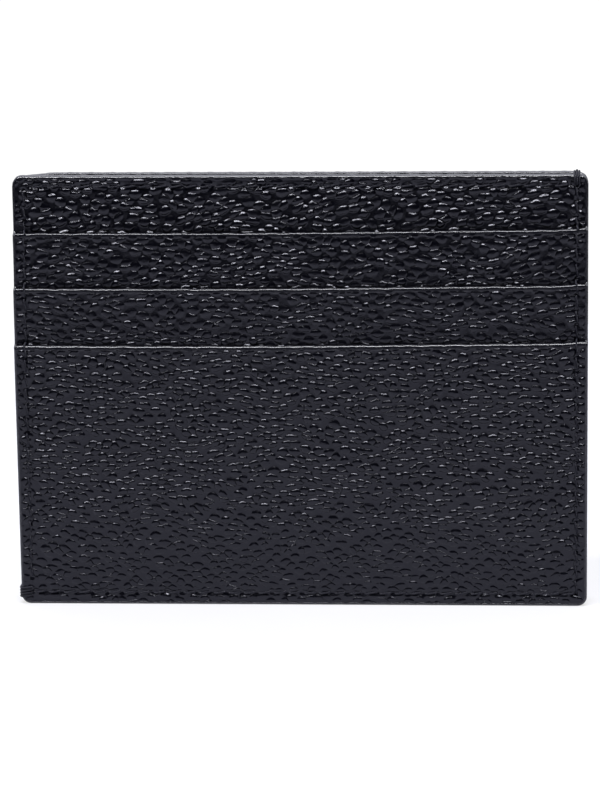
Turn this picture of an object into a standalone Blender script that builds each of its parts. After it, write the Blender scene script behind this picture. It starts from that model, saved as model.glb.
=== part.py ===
"""Leather card holder: three front card slots, a centre pocket and a plain back.

The holder stands on its bottom edge, as it is shown for sale. Its front faces -Y, +X is to the
right and +Z is up. The origin is the middle of the bottom edge. The layers are flat plates in a
stack from front to back, the cut edges carry beads of edge paint, and lockstitch seams hold the
stack together, with one needle thread in front and one bobbin thread behind for each seam.
"""

import math

import bmesh
import bpy

MM = 0.001

# Overall size, over the painted edges
WIDTH = 100.0 * MM
FRONT_HEIGHT = 76.1 * MM
BACK_HEIGHT = 76.4 * MM
CORNER_RADIUS = 1.7 * MM

# Heights of the three card slot mouths, measured down from the front wall's top edge
UPPER_SLOT_DROP = 9.95 * MM
MIDDLE_SLOT_DROP = 19.5 * MM
LOWER_SLOT_DROP = 29.4 * MM

# Material thicknesses and the spaces between the layers
POCKET_LEATHER = 0.65 * MM
BASE_LEATHER = 0.8 * MM
BACK_LEATHER = 0.85 * MM
LINING = 0.2 * MM
LAYER_GAP = 0.1 * MM
CENTRE_POCKET_GAP = 1.0 * MM

# Edge paint: a bead of this height over every cut edge, just clear of the leather
PAINT = 0.3 * MM
PAINT_GAP = 0.05 * MM
PAINT_ROUNDING = 0.25 * MM

# The two upper pockets are leather strips on T-shaped linings
STRIP_OVERLAP = 6.0 * MM
TONGUE_WIDTH = 88.0 * MM
UPPER_TONGUE_BOTTOM = 9.0 * MM
MIDDLE_TONGUE_BOTTOM = 6.0 * MM
TONGUE_RADIUS = 1.5 * MM
TONGUE_ARM_DROP = 14.0 * MM

# Lockstitch seams
THREAD_RADIUS = 0.17 * MM
STITCH_PITCH = 2.65 * MM
SIDE_SEAM_INSET = 1.95 * MM
BOTTOM_SEAM_INSET = 2.2 * MM
TOP_SEAM_INSET = 1.9 * MM
LEFT_SEAM_TOP_INSET = 2.6 * MM
THREAD_AT_HOLE = 0.2 * MM
THREAD_AT_CREST = 0.36 * MM
CREST_SHARE = 0.22
STEP_REACH = 0.55 * MM
WRAP_CLEARANCE = 0.06 * MM
WRAP_RETURN = 1.0 * MM
BOBBIN_IN_POCKET = 0.03 * MM

ARC_STEPS = 5
ROUNDING_STEPS = 2

# Heights worked out from the sizes above
UPPER_MOUTH = FRONT_HEIGHT - UPPER_SLOT_DROP
MIDDLE_MOUTH = FRONT_HEIGHT - MIDDLE_SLOT_DROP
LOWER_MOUTH = FRONT_HEIGHT - LOWER_SLOT_DROP
EDGE = PAINT + PAINT_GAP
HALF_WIDTH = WIDTH / 2
PANEL_HALF_WIDTH = HALF_WIDTH - EDGE

# Layer stack from front to back: name, thickness and the gap behind it
STACK = (
    ("lower_front_pocket", POCKET_LEATHER, LAYER_GAP),
    ("lower_pocket_lining", LINING, LAYER_GAP),
    ("middle_pocket_strip", POCKET_LEATHER, LAYER_GAP),
    ("middle_pocket_lining", LINING, LAYER_GAP),
    ("upper_pocket_strip", POCKET_LEATHER, LAYER_GAP),
    ("upper_pocket_lining", LINING, LAYER_GAP),
    ("front_base_panel", BASE_LEATHER, LAYER_GAP),
    ("centre_pocket_front_lining", LINING, CENTRE_POCKET_GAP),
    ("centre_pocket_rear_lining", LINING, LAYER_GAP),
    ("back_panel", BACK_LEATHER, 0.0),
)
THICKNESS = sum(thick + gap for _, thick, gap in STACK)
FRONT_Y = -THICKNESS / 2
BACK_Y = THICKNESS / 2


def layer_spans():
    """Front and back y of every layer, by name."""
    spans = {}
    y = FRONT_Y
    for name, thick, gap in STACK:
        spans[name] = (y, y + thick)
        y += thick + gap
    return spans


SPANS = layer_spans()


def clear_scene():
    for obj in list(bpy.data.objects):
        bpy.data.objects.remove(obj, do_unlink=True)


def principled(name, colour, roughness):
    material = bpy.data.materials.new(name)
    material.use_nodes = True
    shader = material.node_tree.nodes["Principled BSDF"]
    shader.inputs["Base Color"].default_value = (*colour, 1.0)
    shader.inputs["Roughness"].default_value = roughness
    shader.inputs["Metallic"].default_value = 0.0
    material.diffuse_color = (*colour, 1.0)
    return material


def add_mesh(name, mesh_data, material):
    """Finish a bmesh as a closed, outward-facing object."""
    bmesh.ops.recalc_face_normals(mesh_data, faces=mesh_data.faces)
    mesh = bpy.data.meshes.new(name)
    mesh_data.to_mesh(mesh)
    mesh_data.free()
    mesh.materials.append(material)
    obj = bpy.data.objects.new(name, mesh)
    bpy.context.scene.collection.objects.link(obj)
    return obj


def rounded_polygon(corners):
    """Outline through right-angled corners (x, z, radius), each turned into an arc."""
    outline = []
    for index, (x, z, radius) in enumerate(corners):
        before = corners[index - 1]
        after = corners[(index + 1) % len(corners)]
        if radius == 0.0:
            outline.append((x, z))
            continue
        back_x, back_z = unit(before[0] - x, before[1] - z)
        on_x, on_z = unit(after[0] - x, after[1] - z)
        for step in range(ARC_STEPS + 1):
            angle = step / ARC_STEPS * math.pi / 2
            along_back = radius * (1 - math.sin(angle))
            along_on = radius * (1 - math.cos(angle))
            outline.append(
                (x + back_x * along_back + on_x * along_on, z + back_z * along_back + on_z * along_on)
            )
    return outline


def unit(x, z):
    length = math.hypot(x, z)
    return x / length, z / length


def plate(name, corners, material):
    """A flat layer: the rounded outline, extruded through the layer's place in the stack."""
    front, back = SPANS[name]
    data = bmesh.new()
    outline = rounded_polygon(corners)
    ring = [data.verts.new((x, front, z)) for x, z in outline]
    face = data.faces.new(ring)
    extruded = bmesh.ops.extrude_face_region(data, geom=[face])
    moved = [item for item in extruded["geom"] if isinstance(item, bmesh.types.BMVert)]
    bmesh.ops.translate(data, verts=moved, vec=(0.0, back - front, 0.0))
    return add_mesh(name, data, material)


def full_panel_corners(top, top_radius):
    """A panel from the bottom edge to the given top, inside the edge paint."""
    inner_radius = CORNER_RADIUS - EDGE
    return [
        (-PANEL_HALF_WIDTH, EDGE, inner_radius),
        (PANEL_HALF_WIDTH, EDGE, inner_radius),
        (PANEL_HALF_WIDTH, top, top_radius),
        (-PANEL_HALF_WIDTH, top, top_radius),
    ]


def strip_corners(top, bottom):
    return [
        (-PANEL_HALF_WIDTH, bottom, 0.0),
        (PANEL_HALF_WIDTH, bottom, 0.0),
        (PANEL_HALF_WIDTH, top, 0.0),
        (-PANEL_HALF_WIDTH, top, 0.0),
    ]


def tongue_corners(top, bottom):
    """A T-shaped lining: its arms reach the side seams and its body hangs between them."""
    arm = top - TONGUE_ARM_DROP
    half_body = TONGUE_WIDTH / 2
    return [
        (-half_body, bottom, TONGUE_RADIUS),
        (half_body, bottom, TONGUE_RADIUS),
        (half_body, arm, TONGUE_RADIUS),
        (PANEL_HALF_WIDTH, arm, 0.0),
        (PANEL_HALF_WIDTH, top, 0.0),
        (-PANEL_HALF_WIDTH, top, 0.0),
        (-PANEL_HALF_WIDTH, arm, 0.0),
        (-half_body, arm, TONGUE_RADIUS),
    ]


def make_panels(leather, lining):
    wall_top = FRONT_HEIGHT - EDGE
    back_top = BACK_HEIGHT - EDGE
    wall_radius = CORNER_RADIUS - EDGE
    plate("front_base_panel", full_panel_corners(wall_top, wall_radius), leather)
    plate("centre_pocket_front_lining", full_panel_corners(wall_top, wall_radius), lining)
    plate("centre_pocket_rear_lining", full_panel_corners(back_top, wall_radius), lining)
    plate("back_panel", full_panel_corners(back_top, wall_radius), leather)
    plate("lower_front_pocket", full_panel_corners(LOWER_MOUTH - EDGE, 0.0), leather)
    plate("lower_pocket_lining", full_panel_corners(LOWER_MOUTH - EDGE, 0.0), lining)
    middle_top = MIDDLE_MOUTH - EDGE
    upper_top = UPPER_MOUTH - EDGE
    plate("middle_pocket_strip", strip_corners(middle_top, LOWER_MOUTH - STRIP_OVERLAP), leather)
    plate("upper_pocket_strip", strip_corners(upper_top, MIDDLE_MOUTH - STRIP_OVERLAP), leather)
    plate("middle_pocket_lining", tongue_corners(middle_top, MIDDLE_TONGUE_BOTTOM), lining)
    plate("upper_pocket_lining", tongue_corners(upper_top, UPPER_TONGUE_BOTTOM), lining)


def bead_profile(front, back):
    """Half-section of a paint bead as (y, rise): flat on top, rounded at both shoulders."""
    points = [(front, 0.0)]
    for step in range(ROUNDING_STEPS + 1):
        angle = step / ROUNDING_STEPS * math.pi / 2
        inward = PAINT_ROUNDING * (1 - math.sin(math.pi / 2 - angle))
        rise = PAINT - PAINT_ROUNDING * (1 - math.sin(angle))
        points.append((front + inward, rise))
    points += [(front + back - y, rise) for y, rise in reversed(points)]
    return points


def sweep_bead(name, path, front, back, material):
    """Sweep the bead section along a path of (x, z, outward x, outward z)."""
    data = bmesh.new()
    profile = bead_profile(front, back)
    rings = []
    for x, z, out_x, out_z in path:
        ring = [data.verts.new((x + out_x * rise, y, z + out_z * rise)) for y, rise in profile]
        rings.append(ring)
    count = len(profile)
    for first, second in zip(rings, rings[1:]):
        for index in range(count):
            after = (index + 1) % count
            data.faces.new((first[index], first[after], second[after], second[index]))
    data.faces.new(rings[0])
    data.faces.new(rings[-1])
    return add_mesh(name, data, material)


def arc_path(centre_x, centre_z, radius, start, end):
    """Points of an arc with their outward directions; angles in degrees from +X."""
    path = []
    for step in range(ARC_STEPS + 1):
        angle = math.radians(start + (end - start) * step / ARC_STEPS)
        out_x = math.cos(angle)
        out_z = math.sin(angle)
        path.append((centre_x + radius * out_x, centre_z + radius * out_z, out_x, out_z))
    return path


def top_edge_path(height):
    """Along a wall's top edge, round both of its corners."""
    corner_x = HALF_WIDTH - CORNER_RADIUS
    corner_z = height - CORNER_RADIUS
    radius = CORNER_RADIUS - PAINT
    return arc_path(-corner_x, corner_z, radius, 180, 90) + arc_path(corner_x, corner_z, radius, 90, 0)


def bottom_edge_path():
    corner_x = HALF_WIDTH - CORNER_RADIUS
    radius = CORNER_RADIUS - PAINT
    left = arc_path(-corner_x, CORNER_RADIUS, radius, 180, 270)
    right = arc_path(corner_x, CORNER_RADIUS, radius, 270, 360)
    return left + right


def make_top_paint(paint):
    """Beads on the two walls and on the three slot mouths; each covers leather and lining."""
    walls = (
        ("front_wall_edge_paint", "front_base_panel", "centre_pocket_front_lining", FRONT_HEIGHT),
        ("back_wall_edge_paint", "centre_pocket_rear_lining", "back_panel", BACK_HEIGHT),
    )
    for name, first, last, height in walls:
        sweep_bead(name, top_edge_path(height), SPANS[first][0], SPANS[last][1], paint)
    mouths = (
        ("upper_slot_edge_paint", "upper_pocket_strip", "upper_pocket_lining", UPPER_MOUTH),
        ("middle_slot_edge_paint", "middle_pocket_strip", "middle_pocket_lining", MIDDLE_MOUTH),
        ("lower_slot_edge_paint", "lower_front_pocket", "lower_pocket_lining", LOWER_MOUTH),
    )
    for name, first, last, height in mouths:
        base = height - PAINT
        path = [(-PANEL_HALF_WIDTH, base, 0.0, 1.0), (PANEL_HALF_WIDTH, base, 0.0, 1.0)]
        sweep_bead(name, path, SPANS[first][0], SPANS[last][1], paint)


def side_profile():
    """The stepped side of the stack as (y, z), from the bottom corner round to it again."""
    top_front = FRONT_HEIGHT - CORNER_RADIUS - PAINT_GAP
    top_back = BACK_HEIGHT - CORNER_RADIUS - PAINT_GAP
    bottom = CORNER_RADIUS + PAINT_GAP
    wall_back = SPANS["centre_pocket_front_lining"][1]
    return [
        (FRONT_Y, bottom),
        (FRONT_Y, LOWER_MOUTH),
        (SPANS["middle_pocket_strip"][0], LOWER_MOUTH),
        (SPANS["middle_pocket_strip"][0], MIDDLE_MOUTH),
        (SPANS["upper_pocket_strip"][0], MIDDLE_MOUTH),
        (SPANS["upper_pocket_strip"][0], UPPER_MOUTH),
        (SPANS["front_base_panel"][0], UPPER_MOUTH),
        (SPANS["front_base_panel"][0], top_front),
        (wall_back, top_front),
        (wall_back, top_back),
        (BACK_Y, top_back),
        (BACK_Y, bottom),
    ]


def side_paint(name, side, paint):
    """One side's edge paint: the stepped side outline with its outer rim rounded."""
    data = bmesh.new()
    inner = side * (HALF_WIDTH - PAINT)
    ring = [data.verts.new((inner, y, z)) for y, z in side_profile()]
    face = data.faces.new(ring)
    extruded = bmesh.ops.extrude_face_region(data, geom=[face])
    moved = [item for item in extruded["geom"] if isinstance(item, bmesh.types.BMVert)]
    bmesh.ops.translate(data, verts=moved, vec=(side * PAINT, 0.0, 0.0))
    outer_rim = [
        edge
        for edge in data.edges
        if all(abs(abs(vert.co.x) - HALF_WIDTH) < PAINT / 10 for vert in edge.verts)
    ]
    bmesh.ops.bevel(
        data,
        geom=outer_rim,
        offset=PAINT_ROUNDING,
        segments=ROUNDING_STEPS,
        profile=0.5,
        affect="EDGES",
        clamp_overlap=True,
    )
    return add_mesh(name, data, paint)


def make_perimeter_paint(paint):
    side_paint("left_edge_paint", -1, paint)
    side_paint("right_edge_paint", 1, paint)
    sweep_bead("bottom_edge_paint", bottom_edge_path(), FRONT_Y, BACK_Y, paint)


def front_face_y(z):
    """The outermost front face at a height, allowing for a thread that climbs a slot mouth."""
    if z < LOWER_MOUTH + STEP_REACH:
        return FRONT_Y
    if z < MIDDLE_MOUTH + STEP_REACH:
        return SPANS["middle_pocket_strip"][0]
    if z < UPPER_MOUTH + STEP_REACH:
        return SPANS["upper_pocket_strip"][0]
    return SPANS["front_base_panel"][0]


def flat_face(y):
    """A face at the same y for every height."""
    return lambda z: y


def holes_between(start, end):
    """Needle holes evenly spaced from start to end, as near the stitch pitch as fits."""
    run = math.dist(start, end)
    count = max(1, round(run / STITCH_PITCH))
    return [
        (start[0] + (end[0] - start[0]) * step / count, start[1] + (end[1] - start[1]) * step / count)
        for step in range(count + 1)
    ]


def stitch_points(holes, face_y, side):
    """A thread that dips at each needle hole and lies proud of the face between them."""
    points = []
    for (x0, z0), (x1, z1) in zip(holes, holes[1:]):
        points.append((x0, face_y(z0) + side * THREAD_AT_HOLE, z0))
        for share in (CREST_SHARE, 1 - CREST_SHARE):
            x = x0 + (x1 - x0) * share
            z = z0 + (z1 - z0) * share
            points.append((x, face_y(z) + side * THREAD_AT_CREST, z))
    x, z = holes[-1]
    points.append((x, face_y(z) + side * THREAD_AT_HOLE, z))
    return points


def thread(name, points, material):
    """A round thread through the points, with closed ends."""
    curve = bpy.data.curves.new(name, "CURVE")
    curve.dimensions = "3D"
    curve.bevel_depth = THREAD_RADIUS
    curve.bevel_resolution = 0
    curve.use_fill_caps = True
    spline = curve.splines.new("POLY")
    spline.points.add(len(points) - 1)
    for target, (x, y, z) in zip(spline.points, points):
        target.co = (x, y, z, 1.0)
    curve.materials.append(material)
    obj = bpy.data.objects.new(name, curve)
    bpy.context.scene.collection.objects.link(obj)
    return obj


def main_seam_holes():
    """Along the bottom from the left, then up the right side."""
    side = HALF_WIDTH - SIDE_SEAM_INSET
    bottom = holes_between((-side, BOTTOM_SEAM_INSET), (side, BOTTOM_SEAM_INSET))
    right = holes_between((side, BOTTOM_SEAM_INSET), (side, FRONT_HEIGHT - TOP_SEAM_INSET))
    return bottom + right[1:]


def left_seam_holes():
    x = SIDE_SEAM_INSET - HALF_WIDTH
    return holes_between((x, FRONT_HEIGHT - LEFT_SEAM_TOP_INSET), (x, BOTTOM_SEAM_INSET + STITCH_PITCH))


def top_seam_holes(height):
    reach = HALF_WIDTH - SIDE_SEAM_INSET - STITCH_PITCH / 2
    z = height - TOP_SEAM_INSET
    return holes_between((-reach, z), (reach, z))


def wrap_round_left(holes):
    """The main seam's first turn, from behind round the left edge."""
    x, z = holes[0]
    outside = -HALF_WIDTH - WRAP_CLEARANCE - THREAD_RADIUS
    behind = BACK_Y + THREAD_AT_CREST
    front = FRONT_Y - THREAD_AT_CREST
    return [(x - WRAP_RETURN / 2, behind, z), (outside, behind, z), (outside, front, z)]


def wrap_over_top(holes):
    """The main seam's last turn, over both walls and down behind."""
    x, z = holes[-1]
    above = BACK_HEIGHT + WRAP_CLEARANCE + THREAD_RADIUS
    front = SPANS["front_base_panel"][0] - THREAD_AT_CREST
    behind = BACK_Y + THREAD_AT_CREST
    return [(x, front, above), (x, behind, above), (x, behind, z + WRAP_RETURN)]


def make_seams(thread_material):
    back_face_y = flat_face(BACK_Y)
    main = main_seam_holes()
    needle = wrap_round_left(main) + stitch_points(main, front_face_y, -1) + wrap_over_top(main)
    thread("main_seam_needle_thread", needle, thread_material)
    thread("main_seam_bobbin_thread", stitch_points(main, back_face_y, 1), thread_material)
    left = left_seam_holes()
    thread("left_seam_needle_thread", stitch_points(left, front_face_y, -1), thread_material)
    thread("left_seam_bobbin_thread", stitch_points(left, back_face_y, 1), thread_material)


def make_top_seams(thread_material):
    """The seams that hold each wall's lining; their bobbin threads lie in the centre pocket."""
    walls = (
        ("front_wall_seam", FRONT_HEIGHT, SPANS["front_base_panel"][0], -1),
        ("back_wall_seam", BACK_HEIGHT, BACK_Y, 1),
    )
    pocket = (SPANS["centre_pocket_front_lining"][1], SPANS["centre_pocket_rear_lining"][0])
    for (name, height, outer_y, side), inner_y in zip(walls, pocket):
        holes = top_seam_holes(height)
        outer = stitch_points(holes, flat_face(outer_y), side)
        inner = [(x, inner_y - side * (THREAD_RADIUS + BOBBIN_IN_POCKET), z) for x, z in holes]
        thread(name + "_needle_thread", outer, thread_material)
        thread(name + "_bobbin_thread", inner, thread_material)


def main():
    clear_scene()
    leather = principled("black_pebbled_leather", (0.012, 0.012, 0.016), 0.42)
    lining = principled("black_lining_fabric", (0.016, 0.016, 0.018), 0.8)
    paint = principled("black_edge_paint", (0.05, 0.05, 0.055), 0.35)
    stitching = principled("black_sewing_thread", (0.014, 0.014, 0.018), 0.6)
    make_panels(leather, lining)
    make_top_paint(paint)
    make_perimeter_paint(paint)
    make_seams(stitching)
    make_top_seams(stitching)


main()
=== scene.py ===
import math
from collections import namedtuple

import bpy
import numpy as np
from mathutils import Matrix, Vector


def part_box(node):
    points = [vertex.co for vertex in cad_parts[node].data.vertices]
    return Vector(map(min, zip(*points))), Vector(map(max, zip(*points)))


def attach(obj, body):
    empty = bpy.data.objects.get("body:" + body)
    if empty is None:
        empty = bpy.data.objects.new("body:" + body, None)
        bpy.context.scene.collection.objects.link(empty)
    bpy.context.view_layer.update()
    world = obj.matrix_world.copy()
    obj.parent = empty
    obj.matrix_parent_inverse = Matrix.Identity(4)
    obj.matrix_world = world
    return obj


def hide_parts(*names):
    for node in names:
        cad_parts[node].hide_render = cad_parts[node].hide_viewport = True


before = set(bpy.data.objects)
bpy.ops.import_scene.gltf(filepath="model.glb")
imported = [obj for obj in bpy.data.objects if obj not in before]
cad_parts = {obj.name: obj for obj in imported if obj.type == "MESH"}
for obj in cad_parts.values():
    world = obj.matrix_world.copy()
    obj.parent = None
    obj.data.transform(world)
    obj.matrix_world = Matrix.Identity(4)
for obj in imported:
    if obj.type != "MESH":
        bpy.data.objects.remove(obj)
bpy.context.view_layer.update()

# The looks of a leather card holder. Everything is in metres, in the CAD frame: -Y is the front,
# +Z is up, and the holder stands on z = 0. Each CAD layer, lining, coat of edge paint and thread is
# replaced by a detailed piece in the same place.

MM = 0.001

# ---------------------------------------- places, read from the frame


def node_box(node):
    """Lowest and highest corner of a CAD node, as arrays."""
    low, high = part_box(node)
    return np.array(low), np.array(high)


def front_y(node):
    return node_box(node)[0][1]


def back_y(node):
    return node_box(node)[1][1]


def top_z(node):
    return node_box(node)[1][2]


HALF_WIDTH = node_box("bottom_edge_paint")[1][0]
PANEL_HALF_WIDTH = node_box("lower_front_pocket")[1][0]
PANEL_BOTTOM = node_box("lower_front_pocket")[0][2]
CORNER_RADIUS = top_z("bottom_edge_paint")
PANEL_RADIUS = CORNER_RADIUS - PANEL_BOTTOM
FRONT_HEIGHT = top_z("front_wall_edge_paint")
BACK_HEIGHT = top_z("back_wall_edge_paint")
LOWER_MOUTH = top_z("lower_slot_edge_paint")
MIDDLE_MOUTH = top_z("middle_slot_edge_paint")
UPPER_MOUTH = top_z("upper_slot_edge_paint")
POCKET_Y = front_y("lower_front_pocket")
BACK_FACE_Y = back_y("back_panel")

THREAD_RADIUS = 0.17 * MM
SIDE_SEAM_X = node_box("main_seam_bobbin_thread")[1][0] - THREAD_RADIUS
BOTTOM_SEAM_Z = node_box("main_seam_bobbin_thread")[0][2] + THREAD_RADIUS
FRONT_ROW_Z = top_z("front_wall_seam_needle_thread") - THREAD_RADIUS
BACK_ROW_Z = top_z("back_wall_seam_needle_thread") - THREAD_RADIUS
ROW_REACH = node_box("front_wall_seam_needle_thread")[1][0]
LEFT_SEAM_TOP = top_z("left_seam_needle_thread")
LEFT_SEAM_BOTTOM = node_box("left_seam_needle_thread")[0][2]
MAIN_SEAM_TOP = top_z("main_seam_bobbin_thread")
STITCH_PITCH = 2.65 * MM

# ---------------------------------------- smooth shapes in numbers


def smooth(value, low, high):
    """0 below low, 1 above high, and smooth between them."""
    share = np.clip((value - low) / (high - low), 0.0, 1.0)
    return share * share * (3 - 2 * share)


def wobble(place, seed, wavelength):
    """A smooth irregular wave between about -1 and 1 along a length."""
    total = 0.0
    for octave, strength in enumerate((0.55, 0.3, 0.15)):
        pitch = wavelength / (1.0 + 0.93 * octave)
        phase = seed * (1.7 + octave) + 2.1 * octave
        bend = 0.8 * np.sin(place / (pitch * 2.7) + seed)
        total = total + strength * np.sin(2 * math.pi * place / pitch + phase + bend)
    return total


def lean_back(z):
    """How far the holder's upper half leans back."""
    return 0.9 * MM * np.clip((z - 38 * MM) / (38 * MM), 0, 1.2) ** 1.8


def front_bulge(x, z):
    """How far the front layers stand forward between the seams, where the linings pad them."""
    across = 1 - np.abs(x / SIDE_SEAM_X).clip(0, 1) ** 3.2
    up = smooth(z, 2 * MM, 15 * MM) * (1 - 0.75 * smooth(z, 52 * MM, 75 * MM))
    return 0.45 * MM * across * up - lean_back(z)


def back_bulge(x, z):
    """How far the back wall stands backward; its top leans forward and nearly shuts the pocket."""
    across = 1 - np.abs(x / SIDE_SEAM_X).clip(0, 1) ** 2.6
    up = smooth(z, 2 * MM, 28 * MM) * (1 - 0.9 * smooth(z, 45 * MM, 75 * MM))
    gape = 0.14 * MM * np.exp(-(((x + 38.5 * MM) / (4 * MM)) ** 2))
    lean = 0.95 * MM + 0.15 * MM * across - gape
    return 0.45 * MM * across * up - lean * smooth(z, 36 * MM, 74 * MM) + lean_back(z)


def mouth_rise(x):
    """The slot mouths climb a little towards the right-hand seam, where the strips are pulled up."""
    slow = smooth(x, -15 * MM, 45 * MM)
    sharp = smooth(x, 43 * MM, 50 * MM)
    return 0.4 * MM * slow + 0.3 * MM * sharp


def back_dip(x):
    """The back wall's top edge sinks towards its ends, most at the left."""
    left = 1 - smooth(x, -50 * MM, -42 * MM)
    right = smooth(x, 47 * MM, 50 * MM)
    return -0.6 * MM * left - 0.25 * MM * right


def run_along(points):
    """Distance travelled at each point of a polyline."""
    steps = np.linalg.norm(np.diff(points, axis=0), axis=1)
    return np.concatenate([[0], np.cumsum(steps)])


def row_half_width(z, bottom, top, bottom_radius, top_radius):
    """Half the width of a rounded panel at height z."""
    low = np.clip(bottom + bottom_radius - z, 0, bottom_radius)
    high = np.clip(z - top + top_radius, 0, top_radius)
    cut = bottom_radius - np.sqrt(np.maximum(bottom_radius**2 - low**2, 0))
    cut = cut + top_radius - np.sqrt(np.maximum(top_radius**2 - high**2, 0))
    return PANEL_HALF_WIDTH - cut


# ---------------------------------------- meshes


def make_object(name, verts, faces, material, smooth_angle=75):
    mesh = bpy.data.meshes.new(name)
    mesh.from_pydata(np.asarray(verts).tolist(), [], faces)
    mesh.validate(clean_customdata=False)
    mesh.shade_smooth()
    mesh.set_sharp_from_angle(angle=math.radians(smooth_angle))
    mesh.materials.append(material)
    obj = bpy.data.objects.new(name, mesh)
    bpy.context.scene.collection.objects.link(obj)
    return obj


def belongs(obj, node):
    """The piece rides on the one body and stands for its CAD node."""
    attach(obj, "root")
    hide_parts(node)


def tube_faces(rings, around, base=0):
    """Faces of a skin over rings of points, closed by a cap at each end."""
    faces = []
    for ring in range(rings - 1):
        start = base + ring * around
        for side in range(around):
            here, after = start + side, start + (side + 1) % around
            faces.append((here, after, after + around, here + around))
    end = base + (rings - 1) * around
    faces.append(tuple(range(base + around - 1, base - 1, -1)))
    faces.append(tuple(range(end, end + around)))
    return faces


def flip_if_inside_out(obj):
    """Turn the faces out if the closed mesh has a negative volume."""
    mesh = obj.data
    mesh.calc_loop_triangles()
    points = np.empty(len(mesh.vertices) * 3)
    mesh.vertices.foreach_get("co", points)
    points = points.reshape(-1, 3)
    corners = np.empty(len(mesh.loop_triangles) * 3, np.int64)
    mesh.loop_triangles.foreach_get("vertices", corners)
    a, b, c = points[corners.reshape(-1, 3)].transpose(1, 0, 2)
    if np.einsum("ij,ij->i", a, np.cross(b, c)).sum() < 0:
        mesh.flip_normals()
    return obj


# ---------------------------------------- grain, shared by mesh and shader


# The pebbles of one piece of leather: the size of a cell, how far the mesh swells, how deep the
# shader's relief is, where in the pattern the piece lies, how steep a pebble's flanks are, the slant
# of the rows in degrees, how irregular the cells are and how rough the surface is.
Grain = namedtuple("Grain", "width height swell depth shift power slant jitter roughness")
WALL_GRAIN = Grain(1.95 * MM, 1.5 * MM, 0.18 * MM, 0.115 * MM, (3.1, 7.7), 3.2, 9, 0.7, 0.2)
UPPER_GRAIN = Grain(1.8 * MM, 1.4 * MM, 0.13 * MM, 0.095 * MM, (13.4, 2.9), 3.6, 5, 0.7, 0.2)
MIDDLE_GRAIN = Grain(1.75 * MM, 1.3 * MM, 0.11 * MM, 0.095 * MM, (29.3, 11.2), 4.0, 0, 0.7, 0.21)
LOWER_GRAIN = Grain(1.7 * MM, 1.3 * MM, 0.11 * MM, 0.155 * MM, (47.6, 23.5), 4.5, -5, 0.74, 0.19)
REAR_GRAIN = Grain(1.8 * MM, 1.3 * MM, 0.09 * MM, 0.17 * MM, (71.9, 41.3), 4.2, 4, 0.74, 0.25)

# The cells are turned against the rows and bent by three noises, each a scale per cell and a reach
# in cells. The mesh's pebbles have gentler flanks than the shader's.
CELL_TURN = math.radians(39)
CELL_BENDS = ((0.13, 1.6), (0.6, 0.35), (1.9, 0.14))
MESH_POWER = 2.8


def set_inputs(tree, node, inputs):
    """Set each named input of a node to a plain value, or link it to another node's output."""
    for key, value in inputs.items():
        if isinstance(value, bpy.types.NodeSocket):
            tree.links.new(value, node.inputs[key])
        else:
            node.inputs[key].default_value = value


def add_node(tree, kind, inputs, **settings):
    node = tree.nodes.new(kind)
    for name, value in settings.items():
        setattr(node, name, value)
    set_inputs(tree, node, inputs)
    return node


def math_node(tree, operation, *values):
    inputs = dict(enumerate(values))
    return add_node(tree, "ShaderNodeMath", inputs, operation=operation).outputs[0]


def vector_node(tree, operation, inputs):
    return add_node(tree, "ShaderNodeVectorMath", inputs, operation=operation).outputs[0]


def ramp_node(tree, value, low, high, to_low=0.0, to_high=1.0, kind="SMOOTHSTEP"):
    inputs = {"From Min": low, "From Max": high, "To Min": to_low, "To Max": to_high, "Value": value}
    node = add_node(tree, "ShaderNodeMapRange", inputs, interpolation_type=kind, clamp=True)
    return node.outputs[0]


def noise_node(tree, vector, scale, detail=1.0, roughness=0.5, dimensions="2D", output="Fac"):
    inputs = {"Scale": scale, "Detail": detail, "Roughness": roughness, "Vector": vector}
    node = add_node(tree, "ShaderNodeTexNoise", inputs, noise_dimensions=dimensions)
    return node.outputs[output]


def voronoi_node(tree, vector, feature, jitter):
    inputs = {"Scale": 1.0, "Randomness": jitter, "Vector": vector}
    return add_node(
        tree, "ShaderNodeTexVoronoi", inputs, voronoi_dimensions="2D", feature=feature
    ).outputs


def turned(tree, vector, axis, angle):
    inputs = {"Angle": angle, "Vector": vector}
    return add_node(tree, "ShaderNodeVectorRotate", inputs, rotation_type=axis).outputs[0]


def split(tree, vector):
    """The outputs X, Y and Z of a vector or colour."""
    return add_node(tree, "ShaderNodeSeparateXYZ", {0: vector}).outputs


def grain_cells(tree, position, grain):
    """Cell coordinates: the face's x and z in pebbles, bent so that the rows flow."""
    parts = split(tree, turned(tree, position, "Y_AXIS", math.radians(grain.slant)))
    u = math_node(tree, "MULTIPLY_ADD", parts["X"], 1 / grain.width, grain.shift[0])
    v = math_node(tree, "MULTIPLY_ADD", parts["Z"], 1 / grain.height, grain.shift[1])
    joined = add_node(tree, "ShaderNodeCombineXYZ", {"X": u, "Y": v})
    cells = turned(tree, joined.outputs[0], "Z_AXIS", CELL_TURN)
    for scale, reach in CELL_BENDS:
        noise = noise_node(tree, cells, scale, output="Color")
        centred = vector_node(tree, "SUBTRACT", {0: noise, 1: (0.5, 0.5, 0.5)})
        moved = vector_node(tree, "SCALE", {0: centred, "Scale": reach})
        cells = vector_node(tree, "ADD", {0: cells, 1: moved})
    return cells


def pebbles(tree, position, grain):
    """The cell pattern: distance to the crease, distance to the pebble's middle and its own lot."""
    cells = grain_cells(tree, position, grain)
    edge = voronoi_node(tree, cells, "DISTANCE_TO_EDGE", grain.jitter)["Distance"]
    centres = voronoi_node(tree, cells, "F1", grain.jitter)
    return cells, edge, centres["Distance"], split(tree, centres["Color"])


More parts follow.
